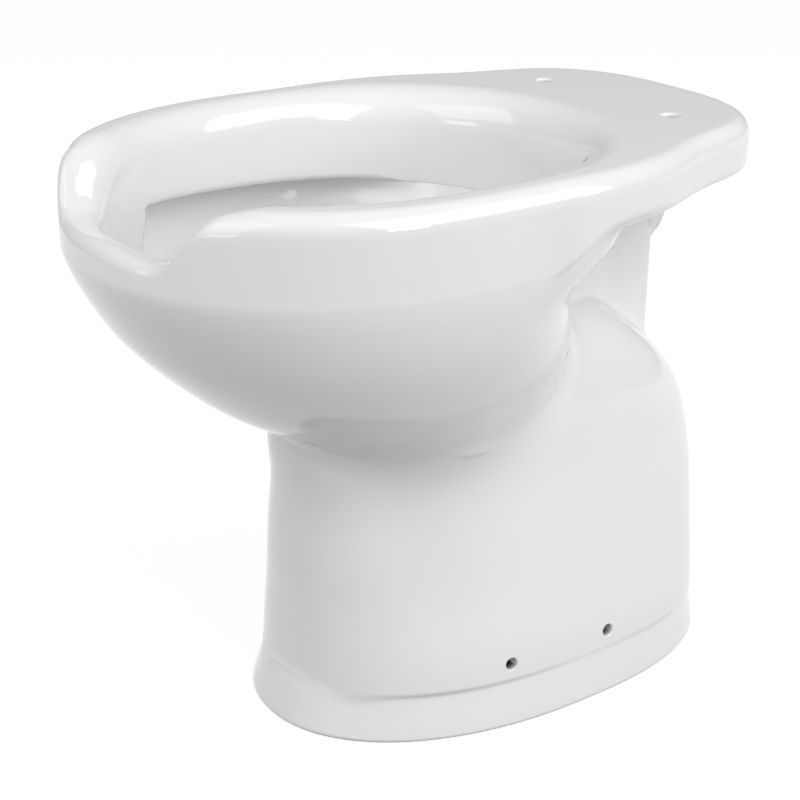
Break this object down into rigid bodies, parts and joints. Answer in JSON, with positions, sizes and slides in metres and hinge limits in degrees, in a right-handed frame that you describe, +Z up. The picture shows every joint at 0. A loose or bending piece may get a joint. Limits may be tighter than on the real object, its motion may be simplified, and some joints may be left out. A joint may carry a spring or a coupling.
{
  "type": "accessible toilet pan",
  "caption": "Floor-standing toilet pan for disabled access: open-front rim, flat seat deck with hinge holes, deep bowl, internal water trap and a hollow pedestal with a flared foot.",
  "frame": {"origin": "middle of the footprint, on the floor", "axes": "+Z up, the open front faces -Y, the seat deck and flush inlet are at +Y, X runs across the pan"},
  "size_m": [0.38, 0.5689, 0.475],
  "materials": {
    "china": "clear gloss glaze over white vitreous china",
    "seal_rubber": "matt black rubber"
  },
  "bodies": {
    "root": {"rim_casting": "china", "bowl": "china", "pedestal": "china", "flush_neck": "china", "trapway": "china", "inlet_horn": "china", "inlet_seal": "seal_rubber", "outlet_seal": "seal_rubber"}
  },
  "joints": []
}
